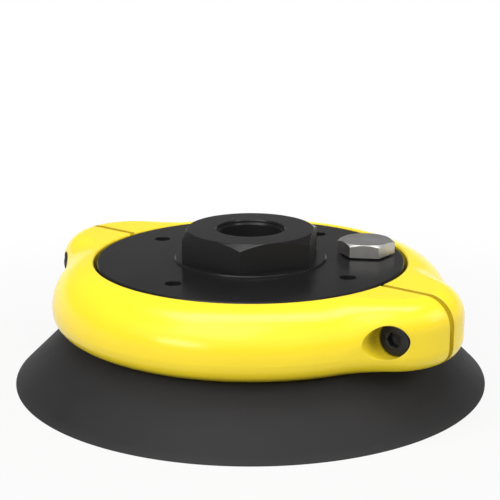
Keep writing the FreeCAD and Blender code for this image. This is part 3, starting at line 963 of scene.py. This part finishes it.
@dataclass
class MountingPlate:
    """Turned plate with a flange, a hex boss, the threaded port and the holes round it."""

    spigot_radius: float = 33.2
    spigot_bottom: float = 19.05
    spigot_round: float = 0.08
    flange_radius: float = 41.5
    flange_bottom: float = 20.55
    flange_top: float = 24.35
    flange_root: float = 0.1
    flange_round: float = 0.25
    plate_radius: float = 36.6
    plate_top: float = 28.8
    plate_root: float = 0.2
    edge_chamfer: float = 0.3
    crisp_round: float = 0.02
    collar_radius: float = 18.1
    collar_chamfer: float = 0.25
    collar_top: float = 29.25
    collar_flat: float = 0.5
    boss_top: float = 36.0
    boss_flats: float = 30.0
    boss_round: float = 0.10
    port_crest: float = 7.475
    port_root: float = 8.331
    port_pitch: float = 1.337
    port_mouth: float = 8.35
    port_step: float = 8.07
    port_step_depths: Span = (0.28, 0.68)
    port_neck: float = 7.62
    port_neck_depth: float = 1.13
    port_entry: float = 4.2
    port_entry_chamfer: float = 0.15
    port_run_in: float = 1.0
    port_rows_per_turn: int = 12
    hole_circle: float = 28.0
    hole_count: int = 4
    hole_sector: float = math.radians(9)
    hole_radius: float = 1.65
    hole_root: float = 2.0
    hole_pitch: float = 0.7
    hole_mouth: float = 1.92
    hole_bevel: float = 0.06
    hole_entry: float = 1.1
    hole_entry_chamfer: float = 0.25
    hole_floor: float = 22.8
    hole_point: float = 21.81
    hole_rows_per_turn: int = 8
    plug_turn: float = math.radians(45)
    plug_sector: float = math.radians(14)
    plug_radius: float = 4.3
    plug_mouth: float = 4.9
    band_inside: float = 22.6
    band_outside: float = 33.0
    band_rows: int = 14
    boss: HexHead = field(init=False)

    def __post_init__(self) -> None:
        """Set up the boss."""
        self.boss = HexHead(self.boss_flats, self.collar_top, self.boss_top, self.boss_flats / 2,
                            self.boss_round, self.boss_round)

    def columns(self) -> Array:
        """Turn of each column, from the boss's outline, so that all the turned faces meet it."""
        return np.unwrap(self.boss.turns())

    def rim(self) -> Array:
        """Profile from the underside's band round the flange and up to the top's band.

        Returns:
            Radius and height of each point.
        """
        return soften([
            (self.band_outside, self.spigot_bottom, 0),
            (self.spigot_radius, self.spigot_bottom, self.spigot_round),
            (self.spigot_radius, self.flange_bottom, self.flange_root),
            (self.flange_radius, self.flange_bottom, self.flange_round),
            (self.flange_radius, self.flange_top, self.flange_round),
            (self.plate_radius, self.flange_top, self.plate_root),
            (self.plate_radius, self.plate_top - self.edge_chamfer, self.crisp_round),
            (self.plate_radius - self.edge_chamfer, self.plate_top, self.crisp_round),
            (self.band_outside, self.plate_top, 0),
        ])

    def collar(self) -> Array:
        """Profile from the top's band in over the low collar to its flat.

        Returns:
            Radius and height of each point.
        """
        return soften([
            (self.band_inside, self.plate_top, 0),
            (self.collar_radius, self.plate_top, self.crisp_round),
            (self.collar_radius, self.collar_top - self.collar_chamfer, self.crisp_round),
            (self.collar_radius - self.collar_chamfer, self.collar_top, self.crisp_round),
            (self.collar_radius - self.collar_flat, self.collar_top, 0),
        ])

    def port(self, turns: Array) -> Array:
        """Grid of the port from its mouth down to the underside.

        The entry's radius is a line through six points: a chamfer, an upright step, a second
        chamfer and a plain neck that ends at the thread's crest. Below it the thread grows to its
        full depth over the run-in. At the far end a chamfer opens to the thread's root. The widest
        of the three is taken at each height.

        Args:
            turns: Turn of each column.

        Returns:
            Grid of points, rows by columns by three.
        """
        step_start, step_end = self.port_step_depths
        depths = [0.0, step_start, step_end, self.port_neck_depth, self.port_entry,
                  self.port_entry + self.port_entry_chamfer]
        radii = [self.port_mouth, self.port_step, self.port_step, self.port_neck, self.port_neck,
                 self.port_crest]
        length = self.boss_top - self.spigot_bottom
        rows = int(length / self.port_pitch * self.port_rows_per_turn)
        down = np.concatenate([depths[:3], np.linspace(self.port_neck_depth, length, rows)])
        heights = self.boss_top - down
        entry = np.interp(down, depths, radii)
        chamfer = self.port_root - (length - down)
        grown = np.clip((down - self.port_entry) / self.port_run_in, 0, 1)[:, None]
        thread = (self.port_root - self.port_crest) * thread_depth(self.port_pitch, turns, heights)
        radius = np.maximum(self.port_crest + grown * thread, np.maximum(entry, chamfer)[:, None])
        return sleeve(radius, heights, turns)

    def holes(self) -> list[HoleMark]:
        """The four tapped holes and the second port.

        Returns:
            The holes, with the second port last.
        """
        top, start = self.plate_top, self.plate_top - self.hole_entry
        tapped = np.array([
            (self.hole_mouth + self.hole_bevel, top),
            (self.hole_mouth, top - self.hole_bevel),
            (self.hole_mouth, start),
            (self.hole_radius, start - self.hole_entry_chamfer),
            (self.hole_radius, self.hole_floor),
            (0, self.hole_point),
        ])
        through = np.array([
            (self.plug_mouth, top),
            (self.plug_radius, top - (self.plug_mouth - self.plug_radius)),
            (self.plug_radius, self.spigot_bottom),
        ])
        quarter = FULL_TURN / self.hole_count
        thread = (self.hole_root, self.hole_pitch)
        marks = [HoleMark(number * quarter, self.hole_sector, tapped, thread)
                 for number in range(self.hole_count)]
        return [*marks, HoleMark(self.plug_turn, self.plug_sector, through)]

    def sector(self, turns: Array, mark: HoleMark) -> Array:
        """Columns on a hole's sector.

        Args:
            turns: Turn of each column of the plate.
            mark: The hole.

        Returns:
            Numbers of the columns, in order.
        """
        away = (turns - mark.turn + math.pi) % FULL_TURN - math.pi
        inside = np.flatnonzero(np.abs(away) <= mark.half_sector)
        return inside[np.argsort(away[inside])]

    def border(self, turns: Array, mark: HoleMark, height: float) -> Array:
        """Closed border of a hole's sector, counter-clockwise: out, round, in and back.

        Args:
            turns: Turn of each column of the plate.
            mark: The hole.
            height: Level of the border.

        Returns:
            Points, one to a row.
        """
        across = turns[self.sector(turns, mark)]
        radius = np.linspace(self.band_inside, self.band_outside, self.band_rows)
        between = len(across) - 2
        reach = np.concatenate([radius, np.full(between, radius[-1]), radius[::-1],
                                np.full(between, radius[0])])
        swing = np.concatenate([np.full(self.band_rows, across[0]), across[1:-1],
                                np.full(self.band_rows, across[-1]), across[-2:0:-1]])
        return around_axis(reach, swing, np.full_like(reach, height))

    def hole(self, turns: Array, mark: HoleMark) -> Array:
        """Grid from a sector's border to its hole and down the hole.

        Each border point looks to the hole's centre. Its column runs straight to the mouth, and
        then follows the hole's section. A tapped wall is split into rows whose radius follows the
        thread.

        Args:
            turns: Turn of each column of the plate.
            mark: The hole.

        Returns:
            Grid of points, rows by columns by three.
        """
        border = self.border(turns, mark, self.plate_top)
        centre = self.hole_circle * np.array([math.cos(mark.turn), math.sin(mark.turn), 0.0])
        away = border - centre
        look = np.arctan2(away[:, 1], away[:, 0])
        section = mark.section
        radius, height = section[:, :1] + 0 * look, section[:, 1:] + 0 * look
        if mark.thread is not None:
            root, pitch = mark.thread
            top, floor = section[-3, 1], section[-2, 1]
            rows = int((top - floor) / pitch * self.hole_rows_per_turn)
            levels = np.linspace(top, floor, rows)[1:-1]
            depth = (root - self.hole_radius) * thread_depth(pitch, look, levels)
            radius = np.concatenate([radius[:-2], self.hole_radius + depth, radius[-2:]])
            height = np.concatenate([height[:-2], levels[:, None] + 0 * look, height[-2:]])
        return np.concatenate([border[None], centre + around_axis(radius, look, height)])

    def band(self, shell: Shell, turns: Array, marks: Sequence[HoleMark], height: float) -> None:
        """Add the plain stretches of a flat band between the sectors of its holes.

        Args:
            shell: The mesh that is added to.
            turns: Turn of each column.
            marks: Holes in the band.
            height: Level of the band.
        """
        radius = np.linspace(self.band_outside, self.band_inside, self.band_rows)
        profile = np.stack([radius, np.full_like(radius, height)], axis=-1)
        taken = [self.sector(turns, mark) for mark in marks]
        taken.sort(key=lambda columns: columns[0] if columns[0] < columns[-1] else -1)
        for first, second in zip(taken, taken[1:] + taken[:1]):
            count = (second[0] - first[-1]) % len(turns) + 1
            stretch = (first[-1] + np.arange(count)) % len(turns)
            shell.add(revolve(profile, turns[stretch]), wrap=False)

    def build(self) -> None:
        """Build and dress the plate."""
        shell = Shell()
        turns = self.columns()
        marks = self.holes()
        second_port = marks[-1]
        boss = self.boss.grid()
        port = self.port(turns)
        collar = revolve(self.collar(), turns)
        shell.add(revolve(self.rim(), turns))
        shell.add(np.concatenate([collar, boss[:1]]))
        shell.add(np.concatenate([boss, port[:1]]))
        shell.add(port)
        self.band(shell, turns, marks, self.plate_top)
        for mark in marks:
            shell.add(self.hole(turns, mark))
        self.band(shell, turns, [second_port], self.spigot_bottom)
        bore = self.hole(turns, second_port)[-1]
        shell.add(np.stack([bore, self.border(turns, second_port, self.spigot_bottom)]))
        inner = [(self.port_root, self.spigot_bottom), (self.band_inside, self.spigot_bottom)]
        shell.add(revolve(np.array(inner), turns))
        present(shell.build("port_plate"), BlackAnodised(), "mounting_plate")


@dataclass
class PortPlug:
    """Hex plug of the second port with its thread, and the flat seal under its head."""

    circle: float
    turn: float
    seal_bottom: float
    flats: float = 12.0
    corner_round: float = 0.15
    edge_round: float = 0.06
    head_bottom: float = 29.2
    head_top: float = 32.3
    crown_radius: float = 5.93
    shank_radius: float = 4.2
    shank_root: float = 3.6
    shank_tip: float = 22.2
    pitch: float = 1.0
    rows_per_turn: int = 10
    steel: Colour = (0.52, 0.515, 0.50)
    # Edge colour of the plug: a painted highlight.
    edge_highlight_steel: Colour = (0.84, 0.84, 0.83)
    gloss: Span = (0.38, 0.48)
    top_rough: float = 0.12
    # Share of its colour that the plug's top keeps: painted shade.
    top_painted_shade: float = 0.67
    seal_inside: float = 4.9
    seal_outside: float = 5.8
    seal_round: float = 0.12
    seal_columns: int = 120
    seal_colour: Colour = (0.022, 0.022, 0.022)

    def centre(self) -> Array:
        """Place of the plug's axis."""
        return np.array([self.circle * math.cos(self.turn), self.circle * math.sin(self.turn), 0.0])

    def shank(self, turns: Array) -> Array:
        """Grid of the threaded shank from the tip up to the head.

        The radius is the thread's, and at most the root plus the distance to the nearer end, so
        both ends run down to the thread's root.

        Args:
            turns: Turn of each column.

        Returns:
            Grid of points, rows by columns by three.
        """
        rows = int((self.head_bottom - self.shank_tip) / self.pitch * self.rows_per_turn)
        heights = np.linspace(self.shank_tip, self.head_bottom, rows)
        depth = self.shank_radius - self.shank_root
        thread = self.shank_radius - depth * thread_depth(self.pitch, turns, heights)
        to_end = np.minimum(heights - self.shank_tip, self.head_bottom - heights)
        limit = self.shank_root + np.minimum(to_end, depth)
        return sleeve(np.minimum(thread, limit[:, None]), heights, turns)

    def build_plug(self) -> None:
        """Build and dress the plug, with its flats turned to face along X."""
        head = HexHead(self.flats, self.head_bottom, self.head_top, self.crown_radius,
                       self.corner_round, self.edge_round)
        turns = head.turns()
        side = head.grid()
        shank = self.shank(turns)
        tip = revolve(np.array([(0.0, self.shank_tip), (self.shank_root, self.shank_tip)]), turns)
        top = revolve(np.array([(0.0, self.head_top)]), turns)
        underside = np.stack([shank[-1], side[0]])
        quarter = np.array([[0.0, 1.0, 0.0], [-1.0, 0.0, 0.0], [0.0, 0.0, 1.0]])
        shell = Shell()
        for grid in (tip, shank, underside, side, np.concatenate([side[-1:], top])):
            shell.add(grid @ quarter + self.centre())
        finish = TurnedMetal("satin_plug_steel", self.steel, self.edge_highlight_steel,
                             tuple(self.centre() * MM), self.gloss, self.top_rough, self.top_painted_shade)
        present(shell.build("hex_plug"), finish, "port_plug")

    def build_seal(self) -> None:
        """Build and dress the seal ring."""
        middle = (self.seal_inside + self.seal_outside) / 2
        loop = soften([
            (middle, self.seal_bottom, 0),
            (self.seal_outside, self.seal_bottom, self.seal_round),
            (self.seal_outside, self.head_bottom, self.seal_round),
            (self.seal_inside, self.head_bottom, self.seal_round),
            (self.seal_inside, self.seal_bottom, self.seal_round),
            (middle, self.seal_bottom, 0),
        ])
        turns = np.linspace(0, FULL_TURN, self.seal_columns, endpoint=False)
        shell = Shell()
        shell.add(revolve(loop, turns) + self.centre())
        finish = MouldedRubber("black_seal_rubber", self.seal_colour, tuple(self.centre() * MM))
        present(shell.build("seal_ring"), finish, "plug_seal")


@dataclass
class ClampScrews:
    """Two socket-head screws with rolled threads and knurled heads, and the brass sleeves for them.

    The rows of a head and of a sleeve give a height, how far the wall stands back there, and
    whether it is knurled. A head's heights start at its seat, and a sleeve's at its far end.
    """

    offset: float = 47.9
    level: float = 21.2
    tip: float = 8.0
    length: float = 16.0
    thread_radius: float = 2.0
    thread_root: float = 1.65
    pitch: float = 0.7
    rows_per_turn: int = 8
    head_height: float = 4.0
    head_radius: float = 3.5
    head_rows: tuple[Row, ...] = (
        (0.0, 0.3, 0), (0.35, 0.0, 1), (3.5, 0.0, 1),
        (3.55, 0.0, 0), (3.88, 0.12, 0), (4.0, 0.4, 0),
    )
    head_knurl: float = 0.12
    socket_flats: float = 3.0
    socket_depth: float = 2.0
    socket_point: float = 0.5
    socket_bevel: float = 0.12
    socket_bevel_depth: float = 0.18
    insert_radius: float = 2.8
    insert_bore: float = 2.1
    insert_root: float = 2.4
    insert_length: float = 8.2
    insert_rows: tuple[Row, ...] = (
        (0.0, 0.2, 0), (0.2, 0.0, 1), (3.0, 0.0, 1), (3.3, 0.35, 0), (4.9, 0.35, 0),
        (5.2, 0.0, 1), (7.7, 0.0, 1), (8.0, 0.0, 0), (8.2, 0.05, 0),
    )
    insert_knurl: float = 0.15
    knurl_spacing: int = 3
    columns: int = 96
    brass: Colour = (0.72, 0.53, 0.24)
    # Edge colour of the sleeves: a painted highlight.
    edge_highlight_brass: Colour = (0.86, 0.70, 0.40)

    def turns(self) -> Array:
        """Evenly spaced turns, one of them at each corner of the socket."""
        return np.arange(self.columns) / self.columns * FULL_TURN

    def lay(self, grid: Array, side: int, start: float) -> Array:
        """Lay a piece that stands on the Z axis along a screw's, from a place on Y to the front."""
        x, y, z = np.moveaxis(grid, -1, 0)
        return np.stack([x + side * self.offset, start - z, y + self.level], axis=-1)

    def wall(self, radius: float, rows: Sequence[Row], knurl: float, start: float) -> Array:
        """Grid of a knurled wall.

        The radius is the full one less what stands back, and less the knurl at its spacing.

        Args:
            radius: Full radius of the wall.
            rows: Height, distance that the wall stands back and share of the knurl in each row.
            knurl: Depth of the knurl.
            start: Height that the rows are counted from.

        Returns:
            Grid of points, rows by columns by three.
        """
        height, inset, share = np.array(rows, float).T[:, :, None]
        notch = np.where(np.arange(self.columns) % self.knurl_spacing == 0, knurl, 0.0)
        return sleeve(radius - inset - share * notch, start + height[:, 0], self.turns())

    def socket(self, top: float) -> Array:
        """Grid of the hexagon socket, from its bevelled mouth down to its point.

        The wall is at half the flats over the cosine of the turn from the middle of its side.

        Args:
            top: Height of the mouth.

        Returns:
            Grid of points, rows by columns by three.
        """
        away = self.turns() % HEX_STEP - HEX_STEP / 2
        wall = self.socket_flats / 2 / np.cos(away)
        mouth = np.maximum(wall, self.socket_flats / math.sqrt(3) + self.socket_bevel)
        floor = top - self.socket_depth
        levels = np.array([top, top - self.socket_bevel_depth, floor, floor - self.socket_point])
        return sleeve(np.stack([mouth, wall, wall, 0 * wall]), levels, self.turns())

    def screw(self) -> list[Array]:
        """Grids of one screw, standing on its tip.

        The shank's radius is the thread's, and at most the root plus the height over the tip.

        Returns:
            Grids of points, rows by columns by three.
        """
        turns = self.turns()
        heights = np.linspace(0, self.length, int(self.length / self.pitch * self.rows_per_turn))
        depth = self.thread_radius - self.thread_root
        thread = self.thread_radius - depth * thread_depth(self.pitch, turns, heights)
        limit = self.thread_root + np.minimum(heights, depth)
        shank = sleeve(np.minimum(thread, limit[:, None]), heights, turns)
        tip = revolve(np.array([(0.0, 0.0), (self.thread_root, 0.0)]), turns)
        head = self.wall(self.head_radius, self.head_rows, self.head_knurl, self.length)
        socket = self.socket(self.length + self.head_height)
        return [tip, np.concatenate([shank, head]), np.concatenate([head[-1:], socket])]

    def insert(self) -> Array:
        """Grid of one sleeve, standing on its far end: knurled bands outside, thread inside.

        The bore's radius is the thread's, and at least the root less the way to the nearer end.

        Returns:
            Grid of points, rows by columns by three.
        """
        turns, length = self.turns(), self.insert_length
        outside = self.wall(self.insert_radius, self.insert_rows, self.insert_knurl, 0.0)
        heights = np.linspace(length, 0, int(length / self.pitch * self.rows_per_turn))
        depth = self.insert_root - self.insert_bore
        thread = self.insert_bore + depth * thread_depth(self.pitch, turns, heights)
        to_end = np.minimum(heights, length - heights)
        limit = self.insert_root - np.minimum(to_end, depth)
        bore = sleeve(np.maximum(thread, limit[:, None]), heights, turns)
        return np.concatenate([outside, bore, outside[:1]])

    def build(self) -> None:
        """Build and dress both screws and both sleeves."""
        screws, inserts = Shell(), Shell()
        for side in (1, -1):
            for grid in self.screw():
                screws.add(self.lay(grid, side, self.tip))
            inserts.add(self.lay(self.insert(), side, self.insert_length))
        brass = TurnedMetal("turned_brass", self.brass, self.edge_highlight_brass)
        present(screws.build("socket_screws"), BlackOxide(), "clamp_screws")
        present(inserts.build("brass_sleeves"), brass, "thread_inserts")


@dataclass
class ClampRing:
    """The two moulded halves of the clamp, which keep the shape of the frame."""

    nodes: tuple[str, str] = ("front_clamp_half", "rear_clamp_half")

    def dress(self) -> None:
        """Give both halves their plastic."""
        plastic = MouldedPlastic().material()
        for name in self.nodes:
            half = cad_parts[name]
            half.data.materials.clear()
            half.data.materials.append(plastic)
            LOG.info("%s dressed", name)


# Studio


def direction(turn: float, rise: float) -> Vector:
    """Unit vector (sin a cos b, -cos a cos b, sin b) at a turn a and a rise b.

    Args:
        turn: Turn from the front towards the right, in degrees.
        rise: Rise over the floor, in degrees.

    Returns:
        The vector.
    """
    turn, rise = math.radians(turn), math.radians(rise)
    level = math.cos(rise)
    return Vector((math.sin(turn) * level, -math.cos(turn) * level, math.sin(rise)))


def aim(name: str, data: bpy.types.ID, target: Place, away: Vector,
        distance: float) -> bpy.types.Object:
    """Put a lamp or camera at a distance from a target and let it look there.

    Args:
        name: Name of the object.
        data: Its lamp or camera data.
        target: Point that it looks at.
        away: Unit vector from the target to it.
        distance: Distance from the target.

    Returns:
        The new object.
    """
    thing = bpy.data.objects.new(name, data)
    thing.location = Vector(target) + away * distance
    thing.rotation_mode = "QUATERNION"
    thing.rotation_quaternion = away.to_track_quat("Z", "Y")
    bpy.context.scene.collection.objects.link(thing)
    return thing


@dataclass
class Lamp:
    """A soft lamp that looks at the object. A white card there shows its level."""

    name: str
    turn: float
    rise: float
    width: float
    height: float
    level: float
    distance: float = 0.9
    target: Place = (0.0, 0.0, 0.02)

    def build(self) -> None:
        """Hang the lamp, with a power of its level times pi squared times its distance squared."""
        data = bpy.data.lights.new(self.name, "AREA")
        data.shape = "RECTANGLE"
        data.size, data.size_y = self.width, self.height
        data.energy = self.level * math.pi**2 * self.distance**2
        lamp = aim(self.name, data, self.target, direction(self.turn, self.rise), self.distance)
        lamp.visible_camera = False


@dataclass
class Studio:
    """White floor, dim surroundings with a white horizon, soft lamps and the camera."""

    lip_radius: float
    camera_turn: float = 38.0
    camera_rise: float = 15.17
    camera_distance: float = 0.3249
    look_at: Place = (0.0, 0.0, 0.03056)
    lens: float = 98.09
    sensor: float = 36.0
    shift: float = -0.00107
    clip: Span = (0.01, 100.0)
    floor_half: float = 6.0
    floor_gap: float = 0.03 * MM
    floor_grey: float = 0.52
    floor_shadow: float = 0.15
    shadow_reach: float = 0.16
    lip_shadow: float = 2.0 * MM
    sky: float = 0.165
    horizon: Span = (0.02, 0.16)
    backdrop: Span = (0.08, 0.16)
    front: float = 0.85
    front_turn: float = 29.0
    front_facing: Span = (0.10, 0.45)
    front_rise: Span = (0.36, 0.50)

    def camera(self) -> None:
        """Set up the camera at the photograph's angle."""
        data = bpy.data.cameras.new("camera")
        data.lens, data.sensor_width, data.shift_x = self.lens, self.sensor, self.shift
        data.clip_start, data.clip_end = self.clip
        away = direction(self.camera_turn, self.camera_rise)
        bpy.context.scene.camera = aim("camera", data, self.look_at, away, self.camera_distance)

    def floor_finish(self) -> bpy.types.Material:
        """Floor material: white where it is seen, with part of the object's shadow near the object.

        Under the cup, where the port lets one look through, the floor keeps its whole shadow.

        Returns:
            The material.
        """
        material = bpy.data.materials.new("white_floor")
        material.use_nodes = True
        sheet = NodeSheet(material.node_tree)
        sheet.nodes.clear()
        point = sheet.node("TexCoord", {}, "Object")
        away = sheet.node("VectorMath", {0: point}, "Value", operation="LENGTH")
        white = sheet.spread(away, (1.0 - self.floor_shadow, 1.0),
                             (self.shadow_reach / 2, self.shadow_reach), Easing.SMOOTH)
        outside = sheet.spread(away, over=(self.lip_radius - self.lip_shadow, self.lip_radius))
        share = sheet.math("MULTIPLY", sheet.seen(), sheet.math("MULTIPLY", white, outside))
        grey = (self.floor_grey, self.floor_grey, self.floor_grey)
        plain = sheet.node("BsdfDiffuse", {"Color": shade(grey)})
        glow = sheet.node("Emission", {"Strength": 1.0})
        mix = sheet.node("MixShader", {0: share, 1: plain, 2: glow})
        sheet.add("OutputMaterial", {"Surface": mix})
        return material

    def floor(self) -> None:
        """Lay the floor a hair below the lip."""
        half, drop = self.floor_half, -self.floor_gap
        corners = [(-half, -half, drop), (half, -half, drop),
                   (half, half, drop), (-half, half, drop)]
        mesh = bpy.data.meshes.new("floor")
        mesh.from_pydata(corners, [], [(0, 1, 2, 3)])
        mesh.materials.append(self.floor_finish())
        floor = bpy.data.objects.new("floor", mesh)
        bpy.context.scene.collection.objects.link(floor)

    def surroundings(self) -> None:
        """World that is white to the camera, and else white at the horizon and dim above it.

        Mirrors and glass see a white backdrop of some height at the horizon. High up on the front
        side a wide soft patch is lighter again.
        """
        world = bpy.data.worlds.new("studio")
        bpy.context.scene.world = world
        world.use_nodes = True
        sheet = NodeSheet(world.node_tree)
        sheet.nodes.clear()
        towards = sheet.node("TexCoord", {}, "Generated")
        rise = sheet.node("SeparateXYZ", {0: towards}, "Z")
        horizon = sheet.spread(rise, (1.0, self.sky), self.horizon, Easing.SMOOTH)
        ahead = {0: towards, 1: tuple(direction(self.front_turn, 0.0))}
        facing = sheet.node("VectorMath", ahead, "Value", operation="DOT_PRODUCT")
        front = sheet.spread(facing, (0.0, self.front), self.front_facing, Easing.SMOOTH)
        high = sheet.spread(rise, (0.0, 1.0), self.front_rise, Easing.SMOOTH)
        level = sheet.math("MULTIPLY_ADD", front, high, horizon)
        backdrop = sheet.spread(rise, (1.0, 0.0), self.backdrop, Easing.SMOOTH)
        backdrop = sheet.math("MULTIPLY", sheet.seen(), backdrop)
        shown = sheet.math("MAXIMUM", level, backdrop)
        shown = sheet.math("MAXIMUM", shown, sheet.node("LightPath", {}, "Is Camera Ray"))
        glow = sheet.node("Background", {"Color": (1.0, 1.0, 1.0, 1.0), "Strength": shown})
        sheet.add("OutputWorld", {"Surface": glow})

    def lamps(self) -> list[Lamp]:
        """The lamps, with their turns counted from the camera's.

        Returns:
            The lamps.
        """
        turn = self.camera_turn
        return [
            Lamp("key_lamp", turn - 28, rise=60, width=0.60, height=0.60, level=0.37),
            Lamp("top_lamp", turn + 180, rise=86, width=0.90, height=0.34, level=0.76),
            Lamp("side_lamp", turn + 82, rise=30, width=0.45, height=0.45, level=0.24),
            Lamp("low_lamp", turn - 40, rise=22, width=0.35, height=0.06, level=0.18),
        ]

    def build(self) -> None:
        """Set up the whole studio."""
        self.camera()
        self.floor()
        self.surroundings()
        for lamp in self.lamps():
            lamp.build()
            LOG.info("%s hung", lamp.name)
        bpy.context.scene.view_settings.view_transform = "Standard"


def main() -> None:
    """Build and dress the whole part, then the studio."""
    logging.basicConfig(level=logging.INFO, format="%(name)s: %(message)s")
    cup = RubberCup()
    cup.build()
    plate = MountingPlate()
    plate.build()
    plug = PortPlug(plate.hole_circle, plate.plug_turn, plate.plate_top)
    plug.build_plug()
    plug.build_seal()
    ClampScrews().build()
    ClampRing().dress()
    Studio(cup.lip_radius * MM).build()


if __name__ == "__main__":
    main()
